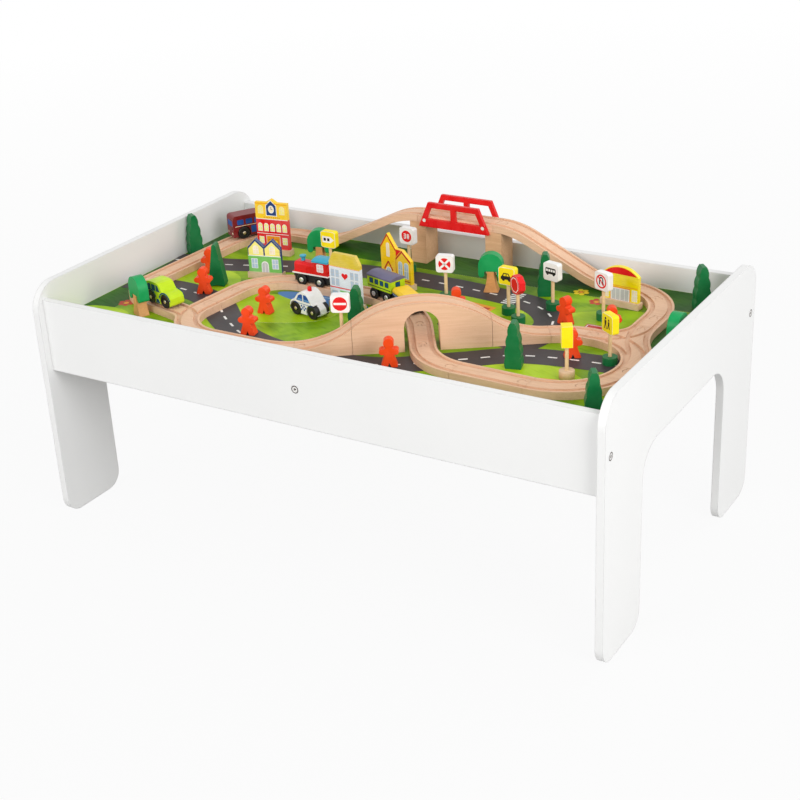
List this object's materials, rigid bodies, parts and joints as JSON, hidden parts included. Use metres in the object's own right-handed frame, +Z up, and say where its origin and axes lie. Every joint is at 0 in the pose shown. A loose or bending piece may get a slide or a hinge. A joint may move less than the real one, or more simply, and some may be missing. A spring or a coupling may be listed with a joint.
{
  "type": "train table",
  "caption": "Low white play table with a tray top that carries a wooden railway with an arch bridge and a raised span, rolling vehicles, lift-off houses, trees, figures and signs.",
  "frame": {"origin": "on the floor under the middle of the table", "axes": "+X along the length, +Y to the back, +Z up"},
  "size_m": [0.985, 0.575, 0.455],
  "materials": {
    "white_paint": "smooth white lacquer on board",
    "board_print": "matt printed board",
    "beech": "plain sanded beech",
    "steel": "zinc plated",
    "truss_red": "gloss red paint",
    "pin_white": "white paint",
    "tree_green": "satin dark green paint",
    "crown_green": "satin green paint",
    "trunk_brown": "stained wood",
    "figure_orange": "satin orange paint",
    "post_cream": "plain wood",
    "sign_paint": "printed wood",
    "school_paint": "printed wood",
    "twin_paint": "printed wood",
    "clinic_paint": "printed wood",
    "church_paint": "printed wood",
    "station_paint": "printed wood",
    "loco_red": "gloss red paint",
    "chassis_black": "moulded black plastic",
    "roof_blue": "gloss blue paint",
    "lime_paint": "gloss lime paint",
    "roof_grey": "satin grey paint",
    "tub_blue": "gloss blue paint",
    "cover_yellow": "gloss yellow paint",
    "bus_red": "gloss dark red paint",
    "patrol_white": "gloss white paint",
    "beacon_red": "gloss red paint",
    "wheel_black": "moulded black plastic on a steel axle"
  },
  "bodies": {
    "table": {"end_panel_left": "white_paint", "end_panel_right": "white_paint", "front_apron": "white_paint", "rear_apron": "white_paint", "play_board": "board_print", "board_cleats": "white_paint", "cleat_screws": "steel", "centre_brace": "white_paint", "frame_bolts": "steel", "barrel_nuts": "steel", "frame_dowels": "beech", "curve_tracks": "beech", "straight_tracks": "beech", "left_switch": "beech", "right_switch": "beech", "rear_ramps": "beech", "bridge_span": "beech", "bridge_piers": "beech", "bridge_trusses": "truss_red", "truss_pins": "pin_white", "bridge_ramps": "beech", "arch_bridge": "beech", "tall_trees": "tree_green", "tree_crowns": "crown_green", "tree_trunks": "trunk_brown", "figures": "figure_orange", "sign_bases": "tree_green", "sign_posts": "post_cream", "sign_plates": "sign_paint"},
    "school": {"school": "school_paint"},
    "twin_house": {"twin_house": "twin_paint"},
    "clinic": {"clinic": "clinic_paint"},
    "church": {"church": "church_paint"},
    "station": {"station": "station_paint"},
    "loco": {"loco_chassis": "chassis_black", "loco_body": "loco_red", "loco_roof": "roof_blue", "loco_funnel": "roof_blue"},
    "loco_front_wheels": {"loco_axle_front": "wheel_black"},
    "loco_rear_wheels": {"loco_axle_rear": "wheel_black"},
    "coach": {"coach_chassis": "chassis_black", "coach_body": "lime_paint", "coach_roof": "roof_grey"},
    "coach_front_wheels": {"coach_axle_front": "wheel_black"},
    "coach_rear_wheels": {"coach_axle_rear": "wheel_black"},
    "wagon": {"wagon_chassis": "chassis_black", "wagon_tub": "tub_blue", "wagon_cover": "cover_yellow"},
    "wagon_front_wheels": {"wagon_axle_front": "wheel_black"},
    "wagon_rear_wheels": {"wagon_axle_rear": "wheel_black"},
    "bus": {"bus_body": "bus_red"},
    "bus_front_wheels": {"bus_axle_front": "wheel_black"},
    "bus_rear_wheels": {"bus_axle_rear": "wheel_black"},
    "car": {"car_body": "lime_paint"},
    "car_front_wheels": {"car_axle_front": "wheel_black"},
    "car_rear_wheels": {"car_axle_rear": "wheel_black"},
    "patrol": {"patrol_body": "patrol_white", "patrol_beacon": "beacon_red"},
    "patrol_front_wheels": {"patrol_axle_front": "wheel_black"},
    "patrol_rear_wheels": {"patrol_axle_rear": "wheel_black"}
  },
  "joints": [
    {"name": "school_lift", "type": "slide", "parent": "table", "child": "school", "axis": [0, 0, 1], "range_m": [0, 0.12]},
    {"name": "twin_house_lift", "type": "slide", "parent": "table", "child": "twin_house", "axis": [0, 0, 1], "range_m": [0, 0.12]},
    {"name": "clinic_lift", "type": "slide", "parent": "table", "child": "clinic", "axis": [0, 0, 1], "range_m": [0, 0.12]},
    {"name": "church_lift", "type": "slide", "parent": "table", "child": "church", "axis": [0, 0, 1], "range_m": [0, 0.12]},
    {"name": "station_lift", "type": "slide", "parent": "table", "child": "station", "axis": [0, 0, 1], "range_m": [0, 0.12]},
    {"name": "loco_travel", "type": "slide", "parent": "table", "child": "loco", "axis": [1, 0, 0], "range_m": [0, 0.024]},
    {"name": "loco_front_spin", "type": "hinge", "parent": "loco", "child": "loco_front_wheels", "pos_m": [-0.18433, 0.03109, 0.3618], "axis": [0, -1, 0], "continuous": true},
    {"name": "loco_rear_spin", "type": "hinge", "parent": "loco", "child": "loco_rear_wheels", "pos_m": [-0.14933, 0.03109, 0.3618], "axis": [0, -1, 0], "continuous": true},
    {"name": "coach_travel", "type": "hinge", "parent": "table", "child": "coach", "pos_m": [-0.08183, -0.16891, 0.343], "axis": [0, 0, 1], "range_deg": [-12, 6]},
    {"name": "coach_front_spin", "type": "hinge", "parent": "coach", "child": "coach_front_wheels", "pos_m": [-0.00912, 0.01801, 0.3618], "axis": [0.2918, 0.9565, 0], "continuous": true},
    {"name": "coach_rear_spin", "type": "hinge", "parent": "coach", "child": "coach_rear_wheels", "pos_m": [-0.03782, 0.02677, 0.3618], "axis": [0.2918, 0.9565, 0], "continuous": true},
    {"name": "wagon_travel", "type": "hinge", "parent": "table", "child": "wagon", "pos_m": [-0.08183, -0.16891, 0.343], "axis": [0, 0, 1], "range_deg": [-12.5, 6.5]},
    {"name": "wagon_front_spin", "type": "hinge", "parent": "wagon", "child": "wagon_front_wheels", "pos_m": [0.04676, -0.01499, 0.3618], "axis": [0.5819, 0.8132, 0], "continuous": true},
    {"name": "wagon_rear_spin", "type": "hinge", "parent": "wagon", "child": "wagon_rear_wheels", "pos_m": [0.02236, 0.00247, 0.3618], "axis": [0.5819, 0.8132, 0], "continuous": true},
    {"name": "bus_travel", "type": "hinge", "parent": "table", "child": "bus", "pos_m": [-0.32774, 0.13477, 0.343], "axis": [0, 0, 1], "range_deg": [-25, 10]},
    {"name": "bus_front_spin", "type": "hinge", "parent": "bus", "child": "bus_front_wheels", "pos_m": [-0.39866, 0.20063, 0.3663], "axis": [-0.8494, 0.5278, 0], "continuous": true},
    {"name": "bus_rear_spin", "type": "hinge", "parent": "bus", "child": "bus_rear_wheels", "pos_m": [-0.41819, 0.1692, 0.3663], "axis": [-0.8494, 0.5278, 0], "continuous": true},
    {"name": "car_travel", "type": "slide", "parent": "table", "child": "car", "axis": [0.9703, -0.2419, 0], "range_m": [-0.014, 0.014]},
    {"name": "car_front_spin", "type": "hinge", "parent": "car", "child": "car_front_wheels", "pos_m": [-0.31867, -0.1531, 0.3663], "axis": [0.2419, 0.9703, 0], "continuous": true},
    {"name": "car_rear_spin", "type": "hinge", "parent": "car", "child": "car_rear_wheels", "pos_m": [-0.35457, -0.14415, 0.3663], "axis": [0.2419, 0.9703, 0], "continuous": true},
    {"name": "patrol_travel", "type": "slide", "parent": "table", "child": "patrol", "axis": [0.9781, -0.2079, 0], "range_m": [-0.02, 0.02]},
    {"name": "patrol_front_spin", "type": "hinge", "parent": "patrol", "child": "patrol_front_wheels", "pos_m": [-0.09338, -0.06972, 0.3543], "axis": [0.2079, 0.9781, 0], "continuous": true},
    {"name": "patrol_rear_spin", "type": "hinge", "parent": "patrol", "child": "patrol_rear_wheels", "pos_m": [-0.12957, -0.06203, 0.3543], "axis": [0.2079, 0.9781, 0], "continuous": true}
  ],
  "couplings": [
    {"joint": "loco_front_spin", "follows": "loco_travel", "rad_per_m": -105.26},
    {"joint": "loco_rear_spin", "follows": "loco_travel", "rad_per_m": -105.26},
    {"joint": "coach_front_spin", "follows": "coach_travel", "ratio": -21.053},
    {"joint": "coach_rear_spin", "follows": "coach_travel", "ratio": -21.053},
    {"joint": "wagon_travel", "follows": "coach_travel", "ratio": 1},
    {"joint": "wagon_front_spin", "follows": "coach_travel", "ratio": -21.053},
    {"joint": "wagon_rear_spin", "follows": "coach_travel", "ratio": -21.053},
    {"joint": "bus_front_spin", "follows": "bus_travel", "ratio": -8.6364},
    {"joint": "bus_rear_spin", "follows": "bus_travel", "ratio": -8.6364},
    {"joint": "car_front_spin", "follows": "car_travel", "rad_per_m": 90.909},
    {"joint": "car_rear_spin", "follows": "car_travel", "rad_per_m": 90.909},
    {"joint": "patrol_front_spin", "follows": "patrol_travel", "rad_per_m": 90.909},
    {"joint": "patrol_rear_spin", "follows": "patrol_travel", "rad_per_m": 90.909}
  ]
}
